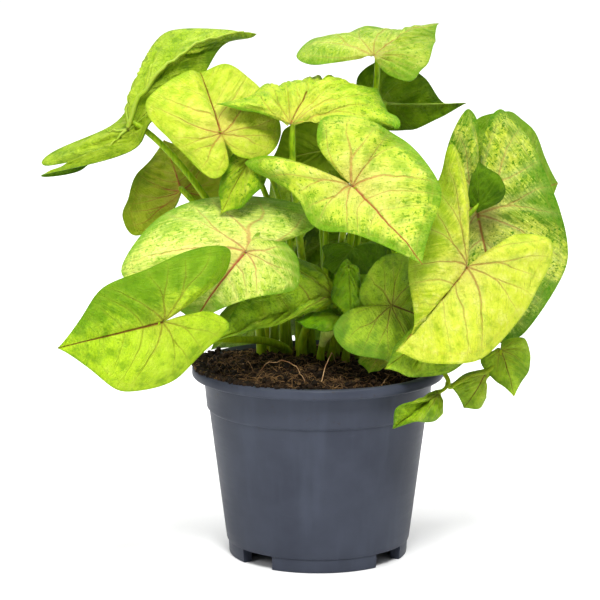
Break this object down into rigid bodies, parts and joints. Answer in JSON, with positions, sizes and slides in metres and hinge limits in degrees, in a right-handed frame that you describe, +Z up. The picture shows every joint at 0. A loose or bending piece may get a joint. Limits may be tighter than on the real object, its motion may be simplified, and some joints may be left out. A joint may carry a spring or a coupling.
{
  "type": "potted syngonium",
  "caption": "House plant in a round nursery pot: arrow-shaped leaves on slim stalks in soil, with a short leafy runner over the rim.",
  "frame": {"origin": "middle of the bounding box on the plane the pot stands on; the pot axis is 5 mm to +X and 9 mm to +Y of it", "axes": "+Z up along the pot, +X to the right and -Y towards the viewer of the pictured front"},
  "size_m": [0.2451, 0.1606, 0.2514],
  "materials": {
    "pot": "satin moulded plastic, dark slate grey",
    "soil": "matt peat and coir, dark brown",
    "leaf_lime": "satin leaf skin, lime green with fine veins",
    "leaf_yellow": "satin leaf skin, yellow green with pink veins",
    "leaf_cream": "satin leaf skin, cream mottled with green",
    "leaf_mid": "satin leaf skin, mid green",
    "leaf_olive": "matt leaf underside, olive green",
    "leaf_deep": "satin leaf skin, deep green"
  },
  "bodies": {
    "root": {"pot": "pot", "soil": "soil", "leaf_front_centre": "leaf_lime", "leaf_front_left": "leaf_mid", "leaf_middle_left": "leaf_cream", "leaf_upper_yellow": "leaf_yellow", "leaf_top_arched": "leaf_lime", "leaf_top_right": "leaf_lime", "leaf_upper_left": "leaf_olive", "leaf_left_behind": "leaf_olive", "leaf_hanging_small": "leaf_mid", "leaf_under_top": "leaf_mid", "leaf_dark_right_top": "leaf_deep", "leaf_right_mottled": "leaf_mid", "leaf_right_behind": "leaf_cream", "leaf_right_curled": "leaf_deep", "leaf_right_front": "leaf_yellow", "leaf_right_under": "leaf_olive", "leaf_centre_right": "leaf_mid", "leaf_centre_right_small": "leaf_lime", "leaf_centre_narrow": "leaf_mid", "leaf_centre_dark": "leaf_deep", "leaf_low_left": "leaf_mid", "leaf_low_centre": "leaf_mid", "leaf_back_low_left": "leaf_deep", "leaf_back_left": "leaf_deep", "leaf_back_centre": "leaf_olive", "leaf_back_right": "leaf_mid", "leaf_back_low": "leaf_deep", "runner": "leaf_mid"}
  },
  "joints": []
}
